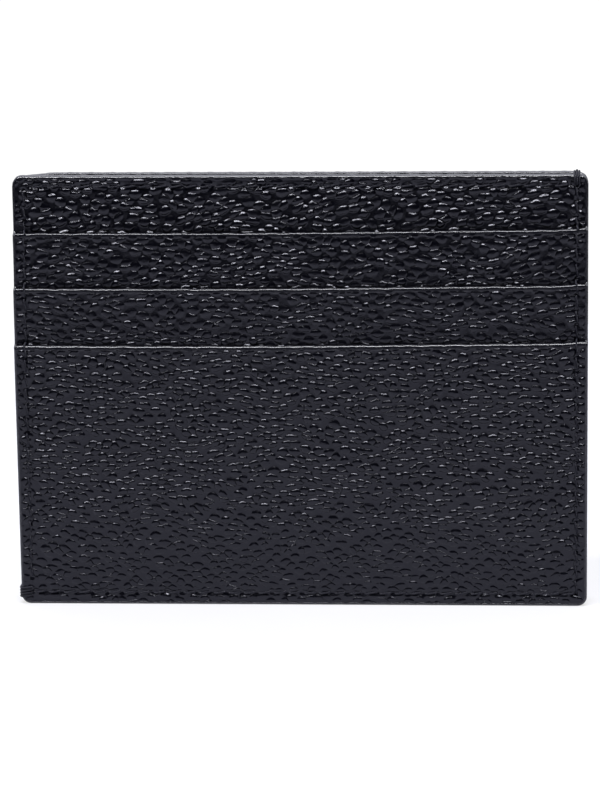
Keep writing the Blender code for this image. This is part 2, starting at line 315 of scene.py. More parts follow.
def pebble_shape(tree, edge, centre, lot, power):
    """1 in a pebble's middle and 0 in its crease: a dome, round where it stands free of the others."""
    size = math_node(tree, "MULTIPLY_ADD", lot["X"], 0.1, 0.47)
    free = math_node(tree, "SUBTRACT", 1.0, math_node(tree, "DIVIDE", centre, size))
    cut = math_node(tree, "DIVIDE", edge, 0.22)
    inside = math_node(tree, "SMOOTH_MIN", free, cut, 0.2)
    inside = math_node(tree, "SMOOTH_MAX", inside, 0.0, 0.06)
    outside = math_node(tree, "MAXIMUM", math_node(tree, "SUBTRACT", 1.0, inside), 0.0)
    return math_node(tree, "SUBTRACT", 1.0, math_node(tree, "POWER", outside, power))


def pebble_relief(tree, edge, centre, lot, power, depth):
    """The pebbles' height in metres."""
    shape = pebble_shape(tree, edge, centre, lot, power)
    lift = math_node(tree, "MULTIPLY_ADD", lot["Y"], 0.4, 0.78)
    return math_node(tree, "MULTIPLY", math_node(tree, "MULTIPLY", shape, lift), depth)


def grain_modifier(grain, outward):
    """A geometry-node group that pushes the outer face out by the grain."""
    tree = bpy.data.node_groups.new("grain_push", "GeometryNodeTree")
    for way in ("INPUT", "OUTPUT"):
        tree.interface.new_socket("Geometry", in_out=way, socket_type="NodeSocketGeometry")
    whole = tree.nodes.new("NodeGroupInput").outputs[0]
    position = tree.nodes.new("GeometryNodeInputPosition").outputs[0]
    _, edge, centre, lot = pebbles(tree, position, grain)
    height = pebble_relief(tree, edge, centre, lot, MESH_POWER, grain.swell)
    mask = add_node(tree, "GeometryNodeInputNamedAttribute", {"Name": "grain"}, data_type="FLOAT")
    masked = math_node(tree, "MULTIPLY", height, mask.outputs["Attribute"])
    lift = math_node(tree, "MULTIPLY", masked, float(outward))
    offset = add_node(tree, "ShaderNodeCombineXYZ", {"Y": lift}).outputs[0]
    push = add_node(tree, "GeometryNodeSetPosition", {"Geometry": whole, "Offset": offset})
    add_node(tree, "NodeGroupOutput", {0: push.outputs[0]})
    return tree


def apply_grain(obj, grain, outward):
    modifier = obj.modifiers.new("grain", "NODES")
    modifier.node_group = grain_modifier(grain, outward)
    graph = bpy.context.evaluated_depsgraph_get()
    graph.update()
    finished = bpy.data.meshes.new_from_object(
        obj.evaluated_get(graph), preserve_all_data_layers=True, depsgraph=graph
    )
    obj.modifiers.remove(modifier)
    obj.data = finished
    finished.name = obj.name


# ---------------------------------------- materials


def new_material(name):
    material = bpy.data.materials.new(name)
    material.use_nodes = True
    tree = material.node_tree
    return material, tree, tree.nodes["Principled BSDF"]


def object_position(tree):
    return tree.nodes.new("ShaderNodeTexCoord").outputs["Object"]


def mix_colours(tree, share, first, second):
    """Mix two colours, each a plain (red, green, blue) or the output of a node."""
    inputs = {"Factor": share}
    for key, colour in (("A", first), ("B", second)):
        inputs[key] = (*colour, 1) if isinstance(colour, tuple) else colour
    return add_node(tree, "ShaderNodeMix", inputs, data_type="RGBA").outputs["Result"]


def bumped(tree, height):
    """The normal of a surface bumped by a height in metres."""
    inputs = {"Strength": 1.0, "Distance": 1.0, "Height": height}
    return add_node(tree, "ShaderNodeBump", inputs).outputs[0]


def leather_material(name, grain):
    """Black pebbled leather: semi-gloss pebbles, fine pores and creases darkened in the base colour as
    painted shade.
    """
    material, tree, shader = new_material(name)
    position = object_position(tree)
    cells, edge, centre, lot = pebbles(tree, position, grain)
    mask = tree.nodes.new("ShaderNodeAttribute")
    mask.attribute_name = "grain"
    cover = mask.outputs["Fac"]
    smudge = noise_node(tree, position, 60.0, 3.0, 0.6, "3D")
    tone = math_node(tree, "MULTIPLY_ADD", lot["Z"], 0.35, 0.3)
    tone = math_node(tree, "MULTIPLY_ADD", smudge, 0.5, tone)
    pebble = mix_colours(tree, tone, (0.0002, 0.0002, 0.0007), (0.0007, 0.0007, 0.0017))
    # Painted shade: the base colour darkens towards each crease, standing in for the shade that falls
    # in it.
    crease = math_node(tree, "MULTIPLY", ramp_node(tree, edge, 0.0, 0.12, 1.0, 0.0), cover)
    pores = noise_node(tree, position, 5200.0, 2.0, 0.55, "3D")
    satin = math_node(tree, "MULTIPLY_ADD", pores, 0.12, grain.roughness - 0.06)
    roll = noise_node(tree, cells, 0.8, 1.0, 0.5)
    wrinkles = noise_node(tree, cells, 3.2, 2.0, 0.5)
    relief = pebble_relief(tree, edge, centre, lot, grain.power, grain.depth)
    skin = math_node(tree, "MULTIPLY", relief, cover)
    for noise, height in ((roll, 0.07 * MM), (wrinkles, 0.01 * MM), (pores, 0.002 * MM)):
        skin = math_node(tree, "MULTIPLY_ADD", noise, height, skin)
    set_inputs(tree, shader, {
        # darkest in the creases: painted shade
        "Base Color": mix_colours(tree, crease, pebble, (0.0001, 0.0001, 0.0004)),
        "Roughness": math_node(tree, "MULTIPLY_ADD", lot["X"], 0.06, satin),
        "Specular IOR Level": 0.29,
        "Specular Tint": (0.92, 0.92, 1.0, 1),
        "Normal": bumped(tree, skin),
    })
    return material


def paint_material():
    """Edge paint: a smooth satin coat with faint brush waves and dust nibs."""
    material, tree, shader = new_material("edge_paint")
    position = object_position(tree)
    cloud = noise_node(tree, position, 900.0, 3.0, 0.55, "3D")
    nibs = noise_node(tree, position, 2600.0, 2.0, 0.5, "3D")
    height = math_node(tree, "MULTIPLY", nibs, 0.006 * MM)
    height = math_node(tree, "MULTIPLY_ADD", cloud, 0.02 * MM, height)
    set_inputs(tree, shader, {
        "Base Color": mix_colours(tree, cloud, (0.002, 0.002, 0.0035), (0.004, 0.004, 0.006)),
        "Roughness": ramp_node(tree, cloud, 0.3, 0.7, 0.15, 0.25),
        "Normal": bumped(tree, height),
    })
    return material


def thread_material():
    """Black bonded polyester: fine fibres along the plies."""
    material, tree, shader = new_material("sewing_thread")
    fibres = noise_node(tree, object_position(tree), 7000.0, 2.0, 0.6, "3D")
    set_inputs(tree, shader, {
        "Base Color": mix_colours(tree, fibres, (0.002, 0.002, 0.004), (0.010, 0.010, 0.017)),
        "Roughness": ramp_node(tree, fibres, 0.3, 0.7, 0.4, 0.6),
        "Specular IOR Level": 0.25,
        "Normal": bumped(tree, math_node(tree, "MULTIPLY", fibres, 0.03 * MM)),
    })
    return material


def lining_material():
    """Fine black plain-weave cloth."""
    material, tree, shader = new_material("lining_cloth")
    position = object_position(tree)
    parts = split(tree, position)
    yarns = 2 * math.pi / (0.32 * MM)
    warp = math_node(tree, "SINE", math_node(tree, "MULTIPLY", parts["X"], yarns))
    weft = math_node(tree, "SINE", math_node(tree, "MULTIPLY", parts["Z"], yarns))
    weave = math_node(tree, "MULTIPLY", warp, weft)
    slub = noise_node(tree, position, 1500.0, 2.0, 0.6, "3D")
    # The cloth's colour follows the weave's height, lighter on the yarns' tops and darker between
    # them: painted shade in the weave's hollows.
    share = ramp_node(tree, weave, -1.0, 1.0)
    height = math_node(tree, "MULTIPLY_ADD", slub, 0.5, weave)
    set_inputs(tree, shader, {
        "Base Color": mix_colours(tree, share, (0.008, 0.008, 0.010), (0.024, 0.024, 0.028)),
        "Roughness": ramp_node(tree, slub, 0.3, 0.7, 0.7, 0.88),
        "Sheen Weight": 0.25,
        "Normal": bumped(tree, math_node(tree, "MULTIPLY", height, 0.02 * MM)),
    })
    return material


# ---------------------------------------- leather panels


class Seam:
    """Needle holes along a line, for the dents and the threads."""

    def __init__(self, start, end):
        run = math.dist(start, end)
        count = max(1, round(run / STITCH_PITCH))
        steps = np.linspace(0, 1, count + 1)[:, None]
        self.start = np.array(start)
        self.end = np.array(end)
        self.holes = self.start + (self.end - self.start) * steps

    def distance(self, x, z):
        """Distance of points from the seam line."""
        along = self.end - self.start
        share = ((x - self.start[0]) * along[0] + (z - self.start[1]) * along[1]) / (along @ along)
        share = np.clip(share, 0, 1)
        off_x = x - self.start[0] - share * along[0]
        off_z = z - self.start[1] - share * along[1]
        return np.hypot(off_x, off_z)


BOTTOM_SEAM = Seam((-SIDE_SEAM_X, BOTTOM_SEAM_Z), (SIDE_SEAM_X, BOTTOM_SEAM_Z))
RIGHT_SEAM = Seam((SIDE_SEAM_X, BOTTOM_SEAM_Z), (SIDE_SEAM_X, MAIN_SEAM_TOP))
LEFT_SEAM = Seam((-SIDE_SEAM_X, LEFT_SEAM_TOP), (-SIDE_SEAM_X, LEFT_SEAM_BOTTOM))
FRONT_ROW = Seam((-ROW_REACH, FRONT_ROW_Z), (ROW_REACH, FRONT_ROW_Z))
BACK_ROW = Seam((-ROW_REACH, BACK_ROW_Z), (ROW_REACH, BACK_ROW_Z))
SIDE_SEAMS = (RIGHT_SEAM, LEFT_SEAM)
RIM_SEAMS = (BOTTOM_SEAM, *SIDE_SEAMS)

# The coarse parts of a panel's mesh: the cells of its unseen inner face, and the height of a row
# where other layers cover its outer face.
INNER_ROWS = 14
INNER_COLUMNS = 24
HIDDEN_ROW = 3.0 * MM


def seam_relief(x, z, seams):
    """How deep the stitches pull the leather in: a soft valley with a pit at each hole."""
    valley, valley_width = 0.09 * MM, 0.45 * MM
    pit, pit_width = 0.24 * MM, 0.34 * MM
    depth = np.zeros_like(x)
    for seam in seams:
        gap = seam.distance(x, z)
        depth = np.maximum(depth, valley * np.exp(-((gap / valley_width) ** 2)))
        for hole_x, hole_z in seam.holes:
            near = (x - hole_x) ** 2 + (z - hole_z) ** 2
            depth = depth + pit * np.exp(-near / pit_width**2)
    return depth


def seam_mask(x, z, seams):
    """The grain is pressed flat along the seams."""
    mask = np.ones_like(x)
    for seam in seams:
        mask = np.minimum(mask, 0.5 + 0.5 * smooth(seam.distance(x, z), 0.15 * MM, 0.5 * MM))
    return mask


def coarse_steps(count, wanted):
    """Row or column numbers from 0 to count - 1 for a coarse grid."""
    return sorted({round(step * (count - 1) / wanted) for step in range(wanted + 1)})


def cell_loop(row_a, row_b, col_a, col_b, rows, cols):
    """Corner numbers round one coarse cell, with every fine point where it meets the rim."""
    bottom = range(col_a, col_b) if row_a == 0 else (col_a,)
    right = range(row_a, row_b) if col_b == cols - 1 else (row_a,)
    top = range(col_b, col_a, -1) if row_b == rows - 1 else (col_b,)
    left = range(row_b, row_a, -1) if col_a == 0 else (row_b,)
    loop = [(row_a, col) for col in bottom]
    loop += [(row, col_b) for row in right]
    loop += [(row_b, col) for col in top]
    loop += [(row, col_a) for row in left]
    return loop


def panel_mesh(name, face, far, outward, material):
    """A closed slab: face is the fine outer grid of points, far the matching inner points."""
    rows, cols = face.shape[:2]
    verts = [tuple(point) for point in face.reshape(-1, 3)]
    faces = []
    for row in range(rows - 1):
        for col in range(cols - 1):
            a = row * cols + col
            faces.append((a, a + 1, a + cols + 1, a + cols))
    inner = {}

    def inner_vertex(row, col):
        if (row, col) not in inner:
            inner[row, col] = len(verts)
            verts.append(tuple(far[row, col]))
        return inner[row, col]

    row_steps = coarse_steps(rows, INNER_ROWS)
    col_steps = coarse_steps(cols, INNER_COLUMNS)
    for row_a, row_b in zip(row_steps, row_steps[1:]):
        for col_a, col_b in zip(col_steps, col_steps[1:]):
            loop = cell_loop(row_a, row_b, col_a, col_b, rows, cols)
            faces.append(tuple(inner_vertex(*place) for place in reversed(loop)))
    rim = [(0, col) for col in range(cols)]
    rim += [(row, cols - 1) for row in range(1, rows)]
    rim += [(rows - 1, col) for col in range(cols - 2, -1, -1)]
    rim += [(row, 0) for row in range(rows - 2, 0, -1)]
    for here, after in zip(rim, rim[1:] + rim[:1]):
        a = here[0] * cols + here[1]
        b = after[0] * cols + after[1]
        faces.append((b, a, inner_vertex(*here), inner_vertex(*after)))
    if outward > 0:
        faces = [loop[::-1] for loop in faces]
    return make_object(name, verts, faces, material)


def graded_rows(bottom, shows_from, top, fine):
    """Row heights: coarse where another layer covers the panel, fine where it shows."""
    shows_from = max(shows_from, bottom)
    shown = np.linspace(shows_from, top, max(2, round((top - shows_from) / fine) + 1))
    if shows_from == bottom:
        return shown
    count = max(2, round((shows_from - bottom) / HIDDEN_ROW) + 1)
    return np.concatenate([np.linspace(bottom, shows_from, count)[:-1], shown])


def leather_panel(
    node, grain, shows_from, spacing, radii, seams, rise=None, press=None, outward=-1
):
    """One leather layer in place of its CAD plate.

    shows_from is the height above which it shows, radii are those of its bottom and top corners,
    rise lifts its top edge and press flattens its grain. outward is -1 for the front, 1 for the back.
    """
    low, high = node_box(node)
    rows = graded_rows(low[2], shows_from, high[2], spacing)
    cols = round(2 * PANEL_HALF_WIDTH / spacing) + 1
    share = np.linspace(-1, 1, cols)[None, :]
    z = rows[:, None] + 0 * share
    half = row_half_width(z, low[2], high[2], *radii)
    x = share * half
    if rise is not None:
        climb = ((z - low[2]) / (high[2] - low[2])) ** 2
        z = z + rise(x) * climb
    bulge = front_bulge(x, z) if outward < 0 else back_bulge(x, z)
    near, away = (low[1], high[1]) if outward < 0 else (high[1], low[1])
    relief = seam_relief(x, z, seams)
    side_gap = PANEL_HALF_WIDTH - np.abs(x)
    top_gap = high[2] + (rise(x) if rise is not None else 0) - z
    rim_gap = np.minimum(side_gap, np.minimum(top_gap, z - low[2] + 0.2 * MM))
    mask = smooth(rim_gap, 0.1 * MM, 0.55 * MM) * seam_mask(x, z, seams)
    if press is not None:
        mask = mask * press(z)
    mask = mask * (z >= rows[0] + 0.05 * MM)
    face_y = near + outward * (bulge - relief - grain.swell * 0.5 * mask)
    face = np.stack([x, face_y, z], axis=-1)
    far = np.stack([x, away + outward * bulge, z], axis=-1)
    material = leather_material(node + "_leather", grain)
    obj = panel_mesh(node + "_hide", face, far, outward, material)
    values = np.zeros(len(obj.data.vertices), np.float32)
    values[: mask.size] = mask.reshape(-1)
    attribute = obj.data.attributes.new("grain", "FLOAT", "POINT")
    attribute.data.foreach_set("value", values)
    apply_grain(obj, grain, outward)
    belongs(obj, node)


def lower_press(z):
    """The grain of the lower pocket is flatter near the bottom seam."""
    return 0.62 + 0.38 * smooth(z, 2 * MM, 30 * MM)


def make_leather():
    finest, fine, plain = 0.135 * MM, 0.225 * MM, 0.3 * MM
    tuck = 0.6 * MM
    rounded = (PANEL_RADIUS, PANEL_RADIUS)
    square = (0.0, 0.0)
    leather_panel(
        "front_base_panel", WALL_GRAIN, UPPER_MOUTH - tuck, finest, rounded, (*SIDE_SEAMS, FRONT_ROW)
    )
    leather_panel(
        "upper_pocket_strip", UPPER_GRAIN, MIDDLE_MOUTH - tuck, finest, square, SIDE_SEAMS, mouth_rise
    )
    leather_panel(
        "middle_pocket_strip", MIDDLE_GRAIN, LOWER_MOUTH - tuck, finest, square, SIDE_SEAMS, mouth_rise
    )
    leather_panel(
        "lower_front_pocket", LOWER_GRAIN, 0.0, fine, (PANEL_RADIUS, 0.0), RIM_SEAMS,
        mouth_rise, lower_press,
    )
    leather_panel(
        "back_panel", REAR_GRAIN, 0.0, plain, rounded, (*RIM_SEAMS, BACK_ROW), back_dip, outward=1
    )


# ---------------------------------------- linings


def lining_grid(low, high, tongue):
    """Grid lines of a lining in x and in z, and which of the cells between them it fills."""
    step = 1.2 * MM
    xs = np.linspace(-PANEL_HALF_WIDTH, PANEL_HALF_WIDTH, round(2 * PANEL_HALF_WIDTH / step) + 1)
    zs = np.linspace(low[2], high[2], round((high[2] - low[2]) / step) + 1)
    if tongue is None:
        return xs, zs, np.ones((len(zs) - 1, len(xs) - 1), bool)
    half_body, arm = tongue
    left = np.abs(xs + half_body).argmin()
    xs[left] = -half_body
    xs[len(xs) - 1 - left] = half_body
    zs[np.abs(zs - arm).argmin()] = arm
    middle_x = (xs[:-1] + xs[1:]) / 2
    middle_z = (zs[:-1] + zs[1:]) / 2
    return xs, zs, (np.abs(middle_x)[None, :] < half_body) | (middle_z[:, None] > arm)


def grid_slab(front, back, filled):
    """Corners and faces of a closed slab between two grids of points, over the filled cells."""
    cols = front.shape[1]
    verts = np.concatenate([front.reshape(-1, 3), back.reshape(-1, 3)])
    count = len(verts) // 2
    faces = []
    rim = {}
    for row, col in zip(*np.nonzero(filled)):
        a = row * cols + col
        corners = (a, a + 1, a + cols + 1, a + cols)
        faces.append(corners)
        faces.append(tuple(count + corner for corner in reversed(corners)))
        for here, after in zip(corners, corners[1:] + corners[:1]):
            if (after, here) in rim:
                del rim[after, here]
            else:
                rim[here, after] = True
    for here, after in rim:
        faces.append((after, here, count + here, count + after))
    used = sorted({int(corner) for loop in faces for corner in loop})
    number = {corner: index for index, corner in enumerate(used)}
    return verts[used], [tuple(number[int(corner)] for corner in loop) for loop in faces]


def lining_piece(node, material, tongue=None):
    """A thin sheet of cloth as a closed slab, pasted and sewn behind a piece of leather.

    tongue is half the body's width and the height of the arms' lower edge, for a T-shaped one.
    """
    low, high = node_box(node)
    xs, zs, filled = lining_grid(low, high, tongue)
    x, z = np.meshgrid(xs, zs)
    full_height = node.startswith("centre")
    radius = PANEL_RADIUS if tongue is None else 0.0
    top_radius = PANEL_RADIUS if full_height else 0.0
    x = x / PANEL_HALF_WIDTH * row_half_width(z, low[2], high[2], radius, top_radius)
    bulge = back_bulge(x, z) if node == "centre_pocket_rear_lining" else -front_bulge(x, z)
    if not full_height:
        z = z + mouth_rise(x) * ((z - low[2]) / (high[2] - low[2])) ** 2
    ripple = 0.02 * MM * wobble(x + 0.7 * z, 2.0, 9 * MM)
    front, back = (np.stack([x, y + bulge + ripple, z], axis=-1) for y in (low[1], high[1]))
    obj = make_object(node + "_cloth", *grid_slab(front, back, filled), material)
    belongs(flip_if_inside_out(obj), node)


def make_linings():
    material = lining_material()
    half_body = 44.0 * MM
    arm_drop = 14.0 * MM
    lining_piece("centre_pocket_front_lining", material)
    lining_piece("centre_pocket_rear_lining", material)
    lining_piece("lower_pocket_lining", material)
    for node, leather in (
        ("upper_pocket_lining", "upper_pocket_strip_hide"),
        ("middle_pocket_lining", "middle_pocket_strip_hide"),
    ):
        lining_piece(node, material, (half_body, top_z(node) - arm_drop))


# ---------------------------------------- edge paint

ARC_POINTS = 12
STACK_POINTS = 44


def cap_profile(width, lip, crown_points, crown, shoulders):
    """Section of a coat of paint over a cut edge, as (depth in from the edge, y from its front)."""
    film = 0.035 * MM
    front, drop, rear = shoulders
    front = min(front, width * 0.7)
    rear = min(rear, width * 0.28)
    points = [(lip, 0.01 * MM), (lip * 0.97, -film * 0.7), (lip * 0.92, -film * 0.95)]
    points += [(lip * 0.86, -film * 0.95), (drop * 1.2, -film * 0.6)]
    for step in range(9):
        angle = step / 8 * math.pi / 2
        points.append((drop * (1 - math.sin(angle)), -film * 0.5 + front * (1 - math.cos(angle))))
    start = front - film * 0.5
    end = width + film - rear
    for step in range(1, crown_points):
        share = step / crown_points
        points.append((-crown * math.sin(share * math.pi), start + (end - start) * share))
    for step in range(4, -1, -1):
        angle = step / 4 * math.pi / 2
        points.append((rear * (1 - math.sin(angle)), width + film - rear * (1 - math.cos(angle))))
    points += [(rear * 1.3, width + film), (lip * 0.9, width + film * 0.7)]
    points += [(lip, width - 0.01 * MM), (lip * 0.9, width - 0.1 * MM), (lip * 0.9, 0.1 * MM)]
    return np.array(points)


def sweep_cap(
    name, node, path, fronts, widths, material, lip, crown, seed,
    crown_points=6, layers=None, shoulders=(0.3 * MM, 0.3 * MM, 0.3 * MM), waviness=1.0,
):
    """Sweep the paint section along path rows of (x, z, outward x, outward z).

    lip is how far the coat reaches over the faces, crown how far it stands out in the middle.
    """
    run = run_along(path[:, :2])
    widths = np.broadcast_to(widths, run.shape)
    swell = 0.035 * wobble(run, seed, 3.6 * MM) + 0.02 * wobble(run, seed + 5, 1.3 * MM)
    swell = waviness * MM * swell
    lips = lip * (1 + 0.16 * wobble(run, seed + 2, 2.9 * MM) + 0.14 * wobble(run, seed, 1.4 * MM))
    rings = []
    for index, (x, z, out_x, out_z) in enumerate(path):
        profile = cap_profile(widths[index], lips[index], crown_points, crown, shoulders)
        depth = profile[:, 0] - swell[index] * (profile[:, 0] < 0.3 * MM)
        if layers is not None:
            depth = depth + layers(profile[:, 1] + fronts[index]) * (profile[:, 0] < 0.1 * MM)
        ring = (x - out_x * depth, fronts[index] + profile[:, 1], z - out_z * depth)
        rings.append(np.stack(ring, axis=-1))
    faces = tube_faces(len(rings), len(rings[0]))
    obj = make_object(name, np.concatenate(rings), faces, material, 60)
    belongs(flip_if_inside_out(obj), node)


def arc_points(centre_x, centre_z, radius, start, end):
    angles = np.radians(np.linspace(start, end, ARC_POINTS))
    cos, sin = np.cos(angles), np.sin(angles)
    return np.stack([centre_x + radius * cos, centre_z + radius * sin, cos, sin], axis=-1)


def straight_points(start, end, outward, step):
    count = max(2, round(math.dist(start, end) / step))
    share = np.linspace(0, 1, count)[:, None]
    places = np.array(start) + (np.array(end) - np.array(start)) * share
    return np.concatenate([places, np.tile(outward, (count, 1))], axis=1)


def wall_path(height):
    """Round a wall's two top corners and along its top edge."""
    left = CORNER_RADIUS - HALF_WIDTH
    top = height - CORNER_RADIUS
    step = 0.3 * MM
    parts = [
        straight_points((-HALF_WIDTH, top - 0.5 * MM), (-HALF_WIDTH, top - 0.05 * MM), (-1, 0), step),
        arc_points(left, top, CORNER_RADIUS, 180, 90),
        straight_points((left + step, height), (-left - step, height), (0, 1), step),
        arc_points(-left, top, CORNER_RADIUS, 90, 0),
        straight_points((HALF_WIDTH, top - 0.05 * MM), (HALF_WIDTH, top - 0.5 * MM), (1, 0), step),
    ]
    return np.concatenate(parts)


def make_wall_paint(material):
    path = wall_path(FRONT_HEIGHT)
    first = front_y("front_base_panel")
    fronts = first - front_bulge(path[:, 0], path[:, 1])
    sweep_cap(
        "front_wall_bead", "front_wall_edge_paint", path, fronts,
        back_y("centre_pocket_front_lining") - first, material,
        0.6 * MM, 0.02 * MM, 1.0, shoulders=(0.7 * MM, 0.45 * MM, 0.08 * MM),
    )
    path = wall_path(BACK_HEIGHT)
    path[:, 1] += back_dip(path[:, 0])
    first = front_y("centre_pocket_rear_lining")
    fronts = first + back_bulge(path[:, 0], path[:, 1])
    sweep_cap(
        "back_wall_bead", "back_wall_edge_paint", path, fronts, BACK_FACE_Y - first, material,
        0.5 * MM, 0.02 * MM, 4.0, shoulders=(0.5 * MM, 0.25 * MM, 0.3 * MM),
    )


def make_mouth_paint(material):
    mouths = (
        ("upper_slot", "upper_pocket_strip", "upper_pocket_lining", UPPER_MOUTH, 7.0, 0.27 * MM),
        ("middle_slot", "middle_pocket_strip", "middle_pocket_lining", MIDDLE_MOUTH, 11.0, 0.3 * MM),
        ("lower_slot", "lower_front_pocket", "lower_pocket_lining", LOWER_MOUTH, 15.0, 0.38 * MM),
    )
    for name, outer, inner, height, seed, shoulder in mouths:
        reach = PANEL_HALF_WIDTH - 0.12 * MM
        path = straight_points((-reach, height), (reach, height), (0, 1), 0.25 * MM)
        path[:, 1] += mouth_rise(path[:, 0]) + 0.05 * MM * wobble(path[:, 0], seed, 8 * MM)
        first = front_y(outer)
        width = back_y(inner) - first
        fronts = first - front_bulge(path[:, 0], path[:, 1])
        fronts = fronts + 0.6 * seam_relief(path[:, 0], path[:, 1] - 0.4 * MM, SIDE_SEAMS)
        sweep_cap(
            name + "_bead", name + "_edge_paint", path, fronts, width, material,
            0.75 * MM, 0.06 * MM, seed, shoulders=(shoulder, 1.3 * shoulder, 0.1 * MM),
        )


def stack_front(z):
    """The outermost front face at the sides, stepping back smoothly at each slot mouth."""
    steps = (
        (LOWER_MOUTH, front_y("middle_pocket_strip") - POCKET_Y),
        (MIDDLE_MOUTH, front_y("upper_pocket_strip") - front_y("middle_pocket_strip")),
        (UPPER_MOUTH, front_y("front_base_panel") - front_y("upper_pocket_strip")),
    )
    place = np.full_like(z, POCKET_Y)
    for mouth, step in steps:
        place = place + step * smooth(z, mouth - 0.25 * MM, mouth + 0.2 * MM)
    return place + lean_back(z)


def layer_lines(y):
    """Faint grooves in the painted edge where one layer meets the next."""
    groove = np.zeros_like(y)
    for node in (
        "lower_front_pocket", "middle_pocket_strip", "upper_pocket_strip",
        "front_base_panel", "centre_pocket_rear_lining", "back_panel",
    ):
        groove = groove + 0.06 * MM * np.exp(-(((y - back_y(node)) / (0.15 * MM)) ** 2))
    return groove


def make_rim_paint(material):
    """The painted sides and bottom of the stack."""
    step = 0.35 * MM
    corner = HALF_WIDTH - CORNER_RADIUS
    gap = 0.05 * MM
    top = FRONT_HEIGHT - CORNER_RADIUS - gap
    for name, side, seed in (("left_edge", -1, 21.0), ("right_edge", 1, 25.0)):
        path = straight_points(
            (side * HALF_WIDTH, CORNER_RADIUS + gap), (side * HALF_WIDTH, top), (side, 0), step
        )
        rise = mouth_rise(path[:, 0])
        fronts = stack_front(path[:, 1] - rise)
        backs = BACK_FACE_Y + back_bulge(path[:, 0], path[:, 1])
        sweep_cap(
            name + "_coat", name + "_paint", path, fronts, backs - fronts, material,
            0.42 * MM, 0.04 * MM, seed, STACK_POINTS, layer_lines, waviness=0.2,
        )
    path = np.concatenate([
        arc_points(-corner, CORNER_RADIUS, CORNER_RADIUS, 180, 270),
        straight_points((step - corner, 0.0), (corner - step, 0.0), (0, -1), step),
        arc_points(corner, CORNER_RADIUS, CORNER_RADIUS, 270, 360),
    ])
    fronts = np.full(len(path), POCKET_Y)
    sweep_cap(
        "bottom_edge_coat", "bottom_edge_paint", path, fronts, BACK_FACE_Y - fronts, material,
        0.42 * MM, 0.0, 29.0, STACK_POINTS, layer_lines, waviness=0.2,
    )


def make_paint():
    material = paint_material()
    make_wall_paint(material)
    make_mouth_paint(material)
    make_rim_paint(material)


# ---------------------------------------- threads

PLIES = 3
PLY_SIDES = 6
TWIST = 1.05 * MM


def resample(points, step):
    """Points at even steps along a polyline."""
    points = np.asarray(points)
    run = run_along(points)
    places = np.linspace(0, run[-1], max(4, round(run[-1] / step)))
    return np.stack([np.interp(places, run, points[:, axis]) for axis in range(3)], axis=-1)


def soften(points, passes):
    """Round the corners of a dense polyline, its ends held."""
    points = points.copy()
    for _ in range(passes):
        points[1:-1] = 0.25 * points[:-2] + 0.5 * points[1:-1] + 0.25 * points[2:]
    return points


def travelling_frames(points):
    """Two directions across the path that turn as little as possible along it."""
    tangents = np.gradient(points, axis=0)
    tangents /= np.linalg.norm(tangents, axis=1)[:, None]
    normal = np.cross(tangents[0], (0.3, 0.9, 0.1))
    normals = []
    for tangent in tangents:
        normal = normal - tangent * (normal @ tangent)
        normal /= np.linalg.norm(normal)
        normals.append(normal)
    normals = np.array(normals)
    return normals, np.cross(tangents, normals)


def twisted_thread(name, node, route, material, radius=0.2 * MM):
    """Plies twisted round the route, each a closed tube, in one piece."""
    points = soften(resample(route, 0.13 * MM), 2)
    normals, across = travelling_frames(points)
    turns = run_along(points) / TWIST
    ply_radius = radius * 0.52

    def spoke(angle):
        return normals * np.cos(angle)[:, None] + across * np.sin(angle)[:, None]

    verts = []
    faces = []
    for ply in range(PLIES):
        turn = 2 * math.pi * (turns + ply / PLIES)
        centres = points + (radius - ply_radius) * spoke(turn)
        angles = [turn + 2 * math.pi * side / PLY_SIDES for side in range(PLY_SIDES)]
        rings = np.stack([centres + ply_radius * spoke(angle) for angle in angles], axis=1)
        faces += tube_faces(len(points), PLY_SIDES, ply * len(points) * PLY_SIDES)
        verts.append(rings.reshape(-1, 3))
    obj = make_object(name, np.concatenate(verts), faces, material)
    belongs(flip_if_inside_out(obj), node)


def front_surface(x, z):
    """y of the leather that shows in front, without its grain."""
    climb = mouth_rise(x)
    ease = 0.3 * MM
    place = front_y("front_base_panel")
    for mouth, node in (
        (UPPER_MOUTH, "upper_pocket_strip"),
        (MIDDLE_MOUTH, "middle_pocket_strip"),
        (LOWER_MOUTH, "lower_front_pocket"),
    ):
        if z < mouth + climb + ease:
            place = front_y(node)
    return place - front_bulge(x, z)


def wall_surface(x, z):
    return front_y("front_base_panel") - front_bulge(x, z)


def back_surface(x, z):
    return BACK_FACE_Y + back_bulge(x, z)


def front_pocket_face(x, z):
    return back_y("centre_pocket_front_lining") - front_bulge(x, z)


def rear_pocket_face(x, z):
    return front_y("centre_pocket_rear_lining") + back_bulge(x, z)


def stitch_route(holes, surface, outward, sunk=0.6 * MM):
    """The thread's path: out of one hole, flat along the face and down into the next."""
    slant, proud, steps = 0.24 * MM, -0.04 * MM, 14
    route = []
    for (x0, z0), (x1, z1) in zip(holes, holes[1:]):
        run = math.dist((x0, z0), (x1, z1))
        side_x, side_z = -(z1 - z0) / run, (x1 - x0) / run
        for step in range(steps):
            share = step / steps
            lift = smooth(share, 0.04, 0.2) * smooth(1 - share, 0.04, 0.2)
            lean = slant * (2 * share - 1) * lift
            x = x0 + (x1 - x0) * share + side_x * lean
            z = z0 + (z1 - z0) * share + side_z * lean
            y = surface(x, z) + outward * ((sunk + proud) * lift - sunk)
            route.append((x, y, z))
    x, z = holes[-1]
    route.append((x, surface(x, z) - outward * sunk, z))
    return route


